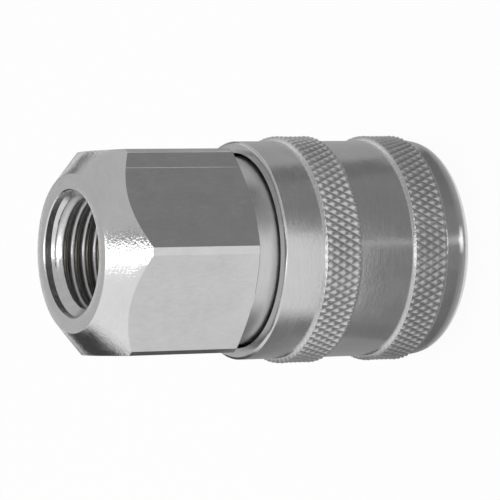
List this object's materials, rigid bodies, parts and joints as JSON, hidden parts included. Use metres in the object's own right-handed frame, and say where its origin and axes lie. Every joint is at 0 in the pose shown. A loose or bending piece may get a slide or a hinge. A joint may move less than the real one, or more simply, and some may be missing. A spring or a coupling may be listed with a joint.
{
  "type": "quick coupling",
  "caption": "Ball-lock quick coupling socket with a hexagonal threaded inlet, a knurled sliding sleeve that frees the plug and a sprung shut-off valve inside.",
  "frame": {"origin": "centre of the nose face, where the coupling stands", "axes": "+Z along the coupling axis from the plug socket up to the inlet thread, hexagon corners on Y"},
  "size_m": [0.025, 0.025, 0.0436],
  "materials": {
    "plated_hex": "bright zinc plate on steel",
    "plated_sleeve": "nickel plate over fine turning marks",
    "turned_steel": "turned, plated",
    "ball_steel": "polished bearing ball",
    "spring_steel": "drawn wire",
    "valve_brass": "turned",
    "seal_rubber": "matt nitrile rubber"
  },
  "bodies": {
    "coupling_body": {"hex_adapter": "plated_hex", "nose_body": "turned_steel", "snap_ring": "spring_steel", "valve_guide": "valve_brass", "plug_seal": "seal_rubber", "adapter_seal": "seal_rubber", "sleeve_spring": "spring_steel", "valve_spring": "spring_steel"},
    "slide_ring": {"thrust_washer": "turned_steel"},
    "sleeve": {"locking_sleeve": "plated_sleeve"},
    "valve": {"valve_poppet": "valve_brass", "valve_seal": "seal_rubber"},
    "locking_ball_1": {"ball_1": "ball_steel"},
    "locking_ball_2": {"ball_2": "ball_steel"},
    "locking_ball_3": {"ball_3": "ball_steel"},
    "locking_ball_4": {"ball_4": "ball_steel"},
    "locking_ball_5": {"ball_5": "ball_steel"},
    "locking_ball_6": {"ball_6": "ball_steel"},
    "locking_ball_7": {"ball_7": "ball_steel"},
    "locking_ball_8": {"ball_8": "ball_steel"}
  },
  "joints": [
    {"name": "sleeve_slide", "type": "slide", "parent": "coupling_body", "child": "slide_ring", "axis": [0, 0, 1], "range_m": [0, 0.0025], "stiffness_N_per_m": 4000, "springref_m": -0.005, "deforming": ["sleeve_spring"]},
    {"name": "sleeve_spin", "type": "hinge", "parent": "slide_ring", "child": "sleeve", "pos_m": [0, 0, 0.012], "axis": [0, 0, 1], "continuous": true},
    {"name": "valve_slide", "type": "slide", "parent": "coupling_body", "child": "valve", "axis": [0, 0, 1], "range_m": [0, 0.0026], "stiffness_N_per_m": 1500, "springref_m": -0.004, "deforming": ["valve_spring"]},
    {"name": "ball_1_slide", "type": "slide", "parent": "coupling_body", "child": "locking_ball_1", "axis": [1, 0, 0], "range_m": [0, 0.00095]},
    {"name": "ball_2_slide", "type": "slide", "parent": "coupling_body", "child": "locking_ball_2", "axis": [0.7071, 0.7071, 0], "range_m": [0, 0.00095]},
    {"name": "ball_3_slide", "type": "slide", "parent": "coupling_body", "child": "locking_ball_3", "axis": [0, 1, 0], "range_m": [0, 0.00095]},
    {"name": "ball_4_slide", "type": "slide", "parent": "coupling_body", "child": "locking_ball_4", "axis": [-0.7071, 0.7071, 0], "range_m": [0, 0.00095]},
    {"name": "ball_5_slide", "type": "slide", "parent": "coupling_body", "child": "locking_ball_5", "axis": [-1, 0, 0], "range_m": [0, 0.00095]},
    {"name": "ball_6_slide", "type": "slide", "parent": "coupling_body", "child": "locking_ball_6", "axis": [-0.7071, -0.7071, 0], "range_m": [0, 0.00095]},
    {"name": "ball_7_slide", "type": "slide", "parent": "coupling_body", "child": "locking_ball_7", "axis": [0, -1, 0], "range_m": [0, 0.00095]},
    {"name": "ball_8_slide", "type": "slide", "parent": "coupling_body", "child": "locking_ball_8", "axis": [0.7071, -0.7071, 0], "range_m": [0, 0.00095]}
  ],
  "couplings": [
    {"joint": "ball_1_slide", "follows": "sleeve_slide", "ratio": 0.38},
    {"joint": "ball_2_slide", "follows": "sleeve_slide", "ratio": 0.38},
    {"joint": "ball_3_slide", "follows": "sleeve_slide", "ratio": 0.38},
    {"joint": "ball_4_slide", "follows": "sleeve_slide", "ratio": 0.38},
    {"joint": "ball_5_slide", "follows": "sleeve_slide", "ratio": 0.38},
    {"joint": "ball_6_slide", "follows": "sleeve_slide", "ratio": 0.38},
    {"joint": "ball_7_slide", "follows": "sleeve_slide", "ratio": 0.38},
    {"joint": "ball_8_slide", "follows": "sleeve_slide", "ratio": 0.38}
  ]
}
